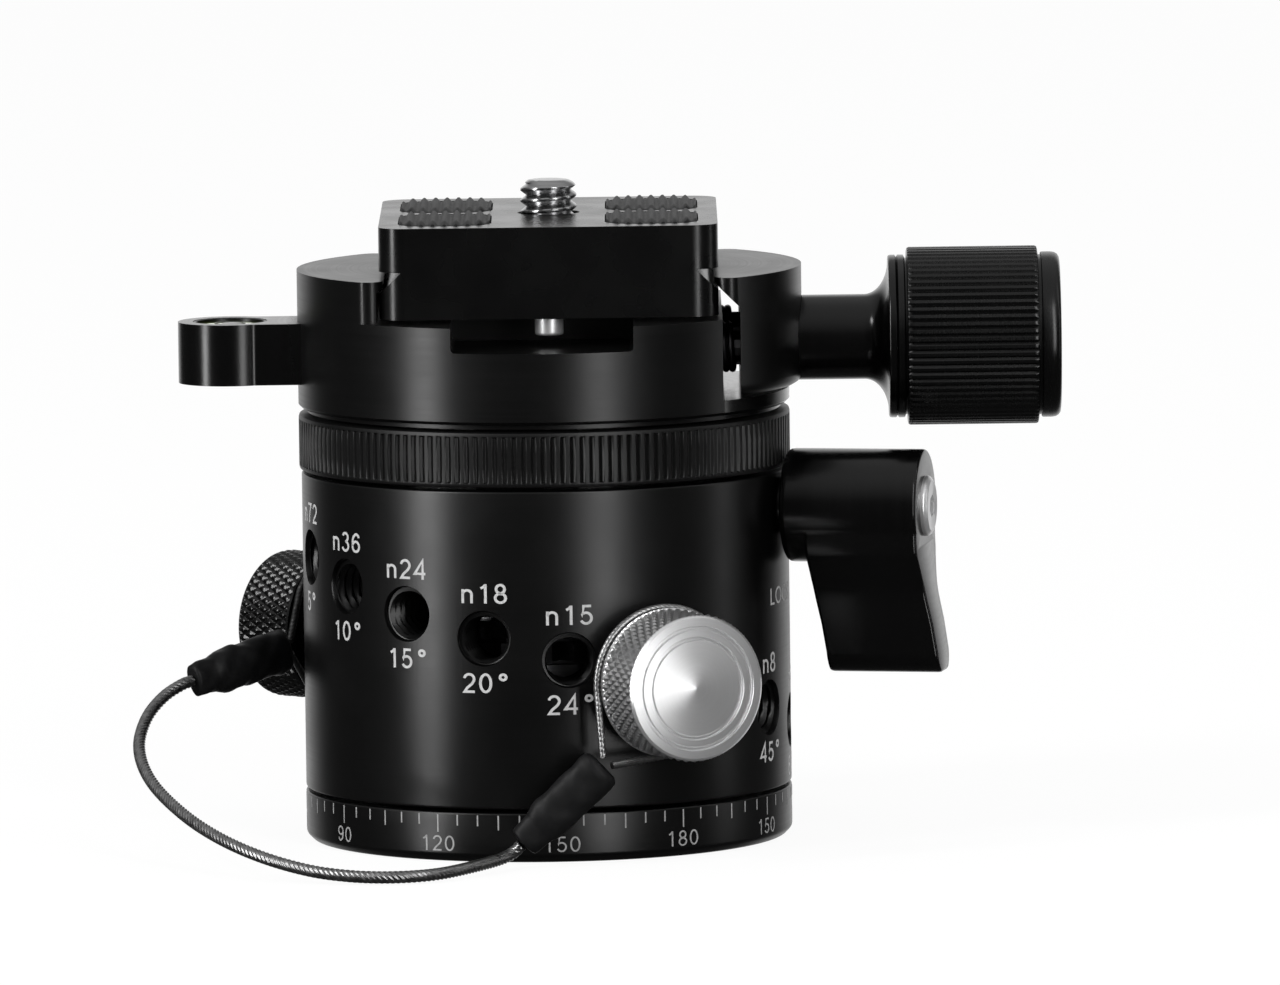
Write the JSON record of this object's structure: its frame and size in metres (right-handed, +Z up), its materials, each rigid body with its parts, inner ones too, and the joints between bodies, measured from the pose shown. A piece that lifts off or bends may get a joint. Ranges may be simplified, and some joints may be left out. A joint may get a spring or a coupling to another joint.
{
  "type": "panning clamp",
  "caption": "Panoramic indexing rotator with a click-stop head, lock lever and knurled knobs, topped by a quick-release clamp that holds a ribbed camera plate.",
  "frame": {"origin": "centre of the base's underside, on the panning axis, at the mouth of the tripod thread", "axes": "+Z up along the panning axis, +X towards the clamp knob, -Y towards the front with the chosen click-stop knob; the camera plate slides along Y"},
  "size_m": [0.1051, 0.0762, 0.0744],
  "materials": {
    "black_aluminium": "satin black anodised, turned",
    "silver_aluminium": "bright turned, knurled rim",
    "steel": "bright machined",
    "brass": "machined",
    "nylon": "natural white nylon",
    "pad_rubber": "ribbed matt rubber",
    "vial": "clear cap over green-yellow liquid",
    "cable_steel": "dark coated stranded wire",
    "shrink": "black shrink sleeve over a crimp"
  },
  "bodies": {
    "base": {"base_ring": "black_aluminium", "tripod_bushing": "brass", "lower_washer": "nylon", "upper_washer": "nylon", "drum_screw_1": "steel", "drum_screw_2": "steel", "drum_screw_3": "steel", "index_drum": "steel"},
    "head": {"head_shell": "black_aluminium", "head_cap": "black_aluminium", "cap_screw_1": "steel", "cap_screw_2": "steel", "cap_screw_3": "steel", "cap_screw_4": "steel", "pivot_bolt": "steel", "clamp_washer": "nylon", "lanyard_cable": "cable_steel", "lanyard_eye_front": "cable_steel", "lanyard_eye_rear": "cable_steel", "lanyard_sleeve_front": "shrink", "lanyard_sleeve_rear": "shrink"},
    "lock_ring": {"lock_ring": "black_aluminium"},
    "clamp": {"clamp_body": "black_aluminium", "level_vial": "vial", "guide_pin_front": "steel", "guide_pin_rear": "steel", "jaw_spring_front": "steel", "jaw_spring_rear": "steel"},
    "jaw": {"movable_jaw": "black_aluminium"},
    "clamp_knob": {"clamp_knob": "black_aluminium", "clamp_screw": "steel", "knob_washer": "steel"},
    "plate": {"camera_plate": "black_aluminium", "pad_front_left": "pad_rubber", "pad_front_right": "pad_rubber", "pad_rear_left": "pad_rubber", "pad_rear_right": "pad_rubber", "stop_pin_front": "steel", "stop_pin_rear": "steel"},
    "camera_screw": {"camera_screw": "steel"},
    "lever": {"lock_lever": "black_aluminium", "lever_screw": "steel", "lever_stud": "steel"},
    "brake": {"brake_pad": "nylon"},
    "detent_pin": {"detent_pin": "steel", "detent_spring": "steel"},
    "detent_knob": {"detent_knob": "silver_aluminium", "detent_sleeve": "steel"},
    "drag_shoe": {"drag_shoe": "nylon"},
    "drag_knob": {"drag_knob": "black_aluminium", "drag_stud": "steel"}
  },
  "joints": [
    {"name": "pan", "type": "hinge", "parent": "base", "child": "head", "pos_m": [0, 0, 0], "axis": [0, 0, 1], "continuous": true},
    {"name": "ring_turn", "type": "hinge", "parent": "head", "child": "lock_ring", "pos_m": [0, 0, 0.0452], "axis": [0, 0, 1], "range_deg": [0, 40]},
    {"name": "clamp_turn", "type": "hinge", "parent": "head", "child": "clamp", "pos_m": [0, 0, 0.0496], "axis": [0, 0, 1], "continuous": true},
    {"name": "knob_turn", "type": "hinge", "parent": "jaw", "child": "clamp_knob", "pos_m": [0, 0, 0.0561], "axis": [1, 0, 0], "range_deg": [0, 900]},
    {"name": "jaw_travel", "type": "slide", "parent": "clamp", "child": "jaw", "axis": [1, 0, 0], "range_m": [0, 0.00251]},
    {"name": "plate_slide", "type": "slide", "parent": "clamp", "child": "plate", "axis": [0, 1, 0], "range_m": [-0.006, 0.006]},
    {"name": "camera_screw_turn", "type": "hinge", "parent": "plate", "child": "camera_screw", "pos_m": [0.0008, 0, 0.0606], "axis": [0, 0, 1], "continuous": true},
    {"name": "lever_turn", "type": "hinge", "parent": "head", "child": "lever", "pos_m": [0, 0, 0.0377], "axis": [0.9781, -0.2079, 0], "range_deg": [0, 90]},
    {"name": "brake_travel", "type": "slide", "parent": "head", "child": "brake", "axis": [0.9781, -0.2079, 0], "range_m": [0, 0.0002]},
    {"name": "detent_knob_turn", "type": "hinge", "parent": "detent_pin", "child": "detent_knob", "pos_m": [0, 0, 0.0203], "axis": [0.4289, -0.9033, 0], "range_deg": [0, 1440]},
    {"name": "detent_pull", "type": "slide", "parent": "head", "child": "detent_pin", "axis": [0.4289, -0.9033, 0], "range_m": [0, 0.00301]},
    {"name": "drag_knob_turn", "type": "hinge", "parent": "drag_shoe", "child": "drag_knob", "pos_m": [0, 0, 0.0218], "axis": [-0.7771, 0.6293, 0], "range_deg": [0, 720]},
    {"name": "drag_travel", "type": "slide", "parent": "head", "child": "drag_shoe", "axis": [-0.7771, 0.6293, 0], "range_m": [0, 0.0016]}
  ],
  "couplings": [
    {"joint": "jaw_travel", "follows": "knob_turn", "m_per_rad": 0.00015915},
    {"joint": "brake_travel", "follows": "lever_turn", "m_per_rad": 0.00011937},
    {"joint": "detent_pull", "follows": "detent_knob_turn", "m_per_rad": 0.00011937},
    {"joint": "drag_travel", "follows": "drag_knob_turn", "m_per_rad": 0.00011937}
  ]
}
